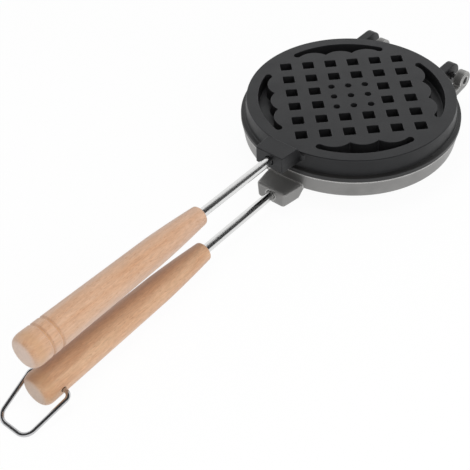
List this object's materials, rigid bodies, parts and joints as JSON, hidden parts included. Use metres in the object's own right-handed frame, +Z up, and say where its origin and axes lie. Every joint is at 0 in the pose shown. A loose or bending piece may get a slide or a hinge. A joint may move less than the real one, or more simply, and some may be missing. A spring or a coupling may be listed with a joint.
{
  "type": "waffle iron",
  "caption": "Round stove-top waffle iron: two hinged cast plates with studs inside, steel rods, turned wooden handles and a swinging wire latch loop.",
  "frame": {"origin": "under the middle of the shut iron's box, on the level that its lowest point touches", "axes": "+X from the handles to the hinge, +Y along the hinge axis, +Z up, square to both plates' faces"},
  "size_m": [0.3978, 0.1474, 0.0551],
  "materials": {
    "coated_casting": "cast aluminium with a dark charcoal satin non-stick coating",
    "bare_casting": "grey cast aluminium, fine blasted skin, lightly rubbed edges",
    "polished_steel": "bright nickel-plated steel wire and rod",
    "pin_steel": "turned steel",
    "beech": "turned beech, sanded and lightly oiled, open flecks along the grain"
  },
  "bodies": {
    "lower_half": {"lower_plate": "bare_casting", "lower_rod": "polished_steel", "lower_handle": "beech", "lower_hinge_pin": "pin_steel"},
    "upper_half": {"upper_plate": "coated_casting", "upper_rod": "polished_steel", "upper_handle": "beech", "upper_hinge_pin": "pin_steel"},
    "latch": {"latch_loop": "polished_steel"}
  },
  "joints": [
    {"name": "plate_hinge", "type": "hinge", "parent": "lower_half", "child": "upper_half", "pos_m": [0.1904, 0, 0.02863], "axis": [0, 1, 0], "range_deg": [0, 180]},
    {"name": "latch_pivot", "type": "hinge", "parent": "lower_half", "child": "latch", "pos_m": [-0.16689, 0, 0.01186], "axis": [0, 1, 0], "range_deg": [-141, 79]}
  ]
}
